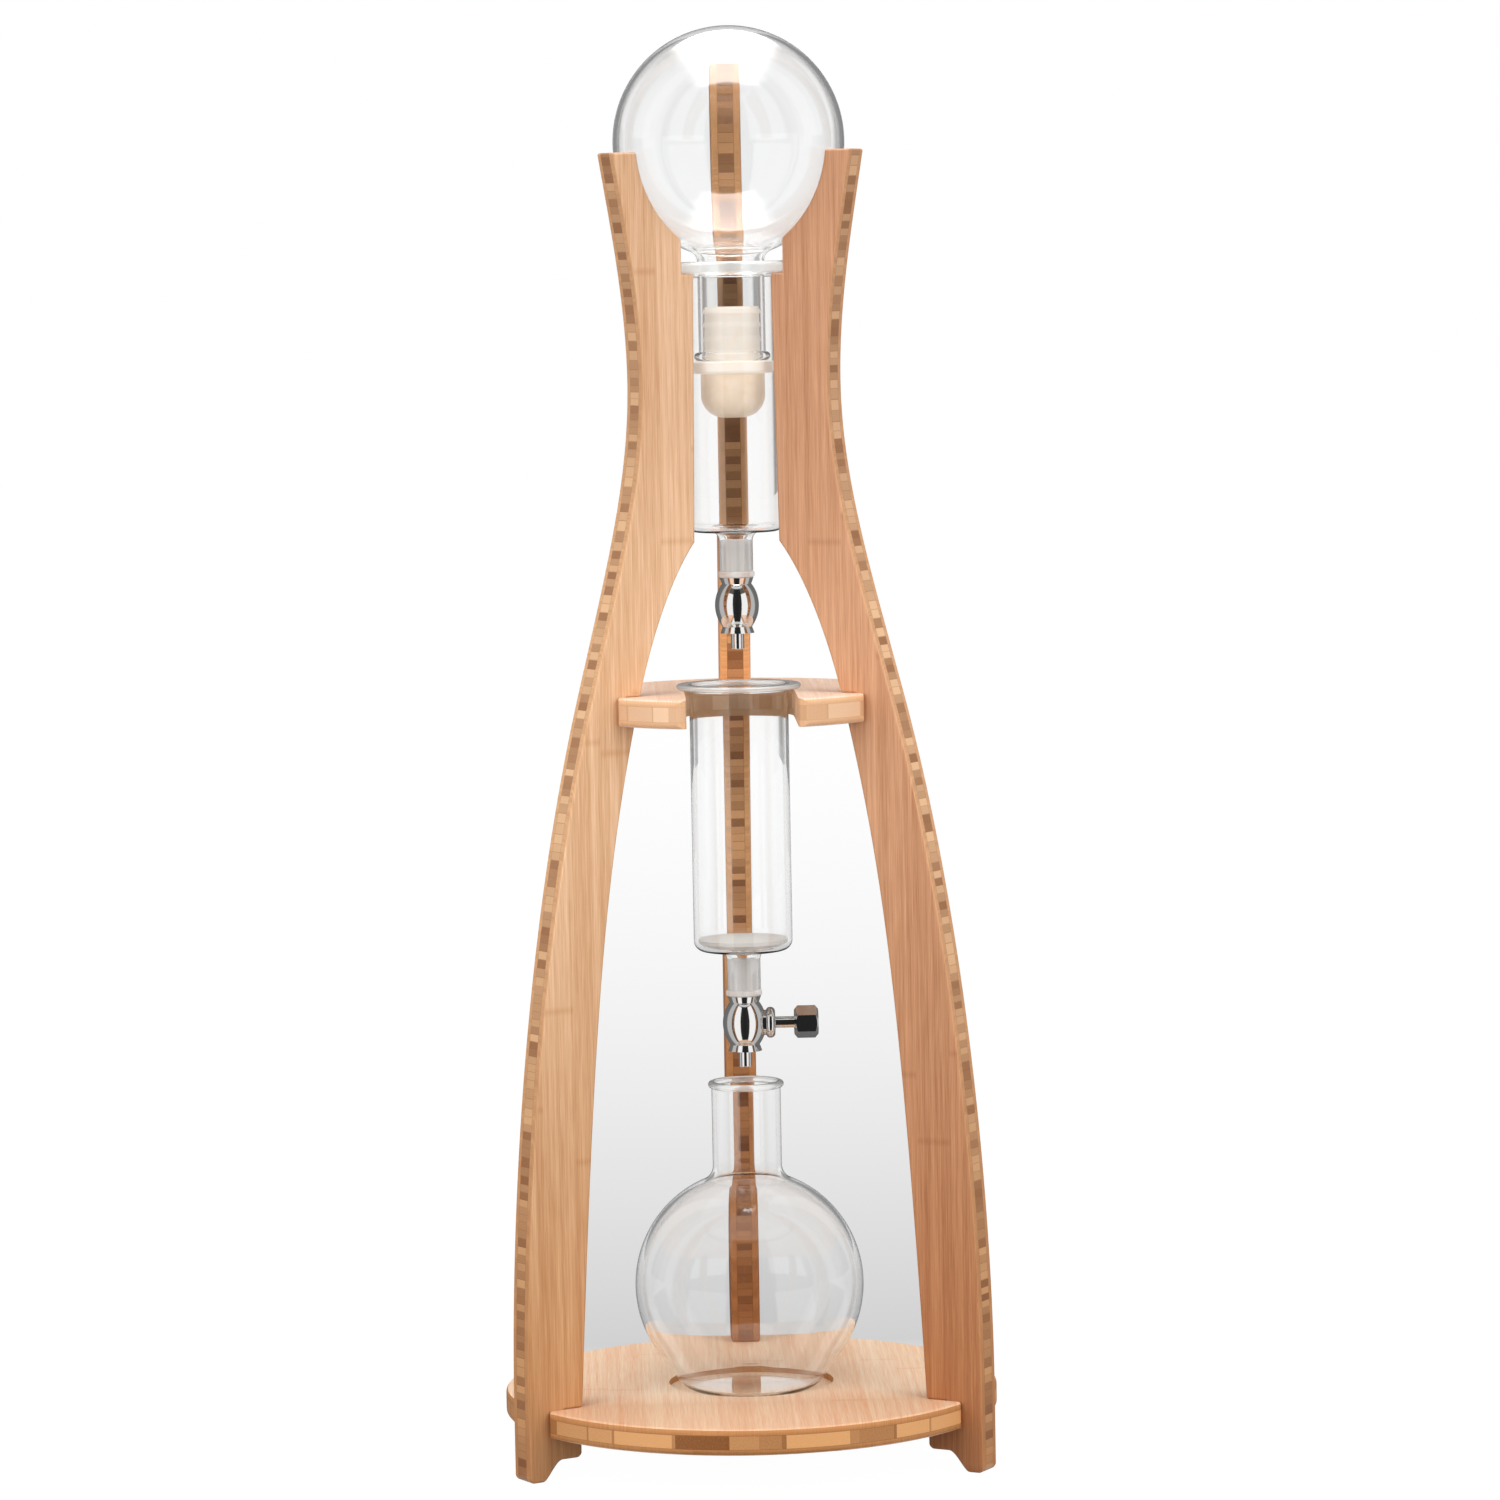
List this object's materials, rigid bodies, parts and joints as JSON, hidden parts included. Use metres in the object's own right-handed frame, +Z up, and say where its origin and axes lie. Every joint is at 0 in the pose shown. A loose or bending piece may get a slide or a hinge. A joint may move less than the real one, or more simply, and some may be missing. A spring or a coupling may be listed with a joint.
{
  "type": "cold drip coffee tower",
  "caption": "Cold drip coffee tower: glass water globe, drip chamber and coffee chamber with needle taps, and a round flask on curved wooden legs.",
  "frame": {"origin": "on the tower's vertical axis, at floor level under the feet", "axes": "+Z up; -Y towards the open front, between the two front legs; +Y towards the rear leg; +X to the right seen from the front"},
  "size_m": [0.282, 0.293, 0.8148],
  "materials": {
    "ply_light": "satin",
    "ply_red": "satin",
    "ply_board": "satin",
    "clear_glass": "polished",
    "silicone": "satin",
    "polished_steel": "polished",
    "screw_steel": "satin",
    "ceramic": "matte",
    "seal": "matte"
  },
  "bodies": {
    "stand": {"base_disc": "ply_board", "leg_front_left": "ply_light", "leg_front_right": "ply_red", "leg_rear": "ply_red", "ring_plate": "ply_board", "base_screws": "screw_steel"},
    "globe": {"globe": "clear_glass"},
    "stopper": {"stopper_plug": "silicone", "stopper_cup": "silicone"},
    "drip_chamber": {"upper_chamber": "clear_glass", "upper_sleeve": "silicone"},
    "upper_tap": {"upper_tap_body": "polished_steel", "upper_drip_tip": "polished_steel", "upper_gland": "polished_steel"},
    "upper_seal": {"upper_o_ring": "seal"},
    "upper_valve": {"upper_needle": "polished_steel", "upper_knob": "polished_steel"},
    "coffee_chamber": {"coffee_chamber": "clear_glass", "lower_sleeve": "silicone"},
    "filter": {"coffee_filter": "ceramic"},
    "lower_tap": {"lower_tap_body": "polished_steel", "lower_drip_tip": "polished_steel", "lower_gland": "polished_steel"},
    "lower_seal": {"lower_o_ring": "seal"},
    "lower_valve": {"lower_needle": "polished_steel", "lower_knob": "polished_steel"},
    "flask": {"flask": "clear_glass"}
  },
  "joints": [
    {"name": "globe_lift", "type": "slide", "parent": "stand", "child": "globe", "axis": [0, 0, 1], "range_m": [0, 0.12]},
    {"name": "stopper_pull", "type": "slide", "parent": "globe", "child": "stopper", "axis": [0, 0, -1], "range_m": [0, 0.035]},
    {"name": "drip_chamber_lift", "type": "slide", "parent": "stand", "child": "drip_chamber", "axis": [0, 0, 1], "range_m": [0, 0.003]},
    {"name": "upper_tap_swivel", "type": "hinge", "parent": "drip_chamber", "child": "upper_tap", "pos_m": [0, 0, 0.5065], "axis": [0, 0, 1], "continuous": true},
    {"name": "upper_seal_slide", "type": "slide", "parent": "upper_tap", "child": "upper_seal", "axis": [0, 1, 0], "range_m": [0, 0.0012]},
    {"name": "upper_needle_turn", "type": "hinge", "parent": "upper_seal", "child": "upper_valve", "pos_m": [0, 0.0284, 0.4871], "axis": [0, 1, 0], "range_deg": [0, 720]},
    {"name": "coffee_chamber_slide", "type": "slide", "parent": "stand", "child": "coffee_chamber", "axis": [0, -1, 0], "range_m": [0, 0.15]},
    {"name": "filter_lift", "type": "slide", "parent": "coffee_chamber", "child": "filter", "axis": [0, 0, 1], "range_m": [0, 0.155]},
    {"name": "lower_tap_swivel", "type": "hinge", "parent": "coffee_chamber", "child": "lower_tap", "pos_m": [0, 0, 0.2669], "axis": [0, 0, 1], "continuous": true},
    {"name": "lower_seal_slide", "type": "slide", "parent": "lower_tap", "child": "lower_seal", "axis": [1, 0, 0], "range_m": [0, 0.0012]},
    {"name": "lower_needle_turn", "type": "hinge", "parent": "lower_seal", "child": "lower_valve", "pos_m": [0.0284, 0, 0.2475], "axis": [1, 0, 0], "range_deg": [0, 720]},
    {"name": "flask_lift", "type": "slide", "parent": "stand", "child": "flask", "axis": [0, 0, 1], "range_m": [0, 0.006]}
  ],
  "couplings": [
    {"joint": "upper_needle_turn", "follows": "upper_seal_slide", "rad_per_m": 10472},
    {"joint": "lower_needle_turn", "follows": "lower_seal_slide", "rad_per_m": 10472}
  ]
}
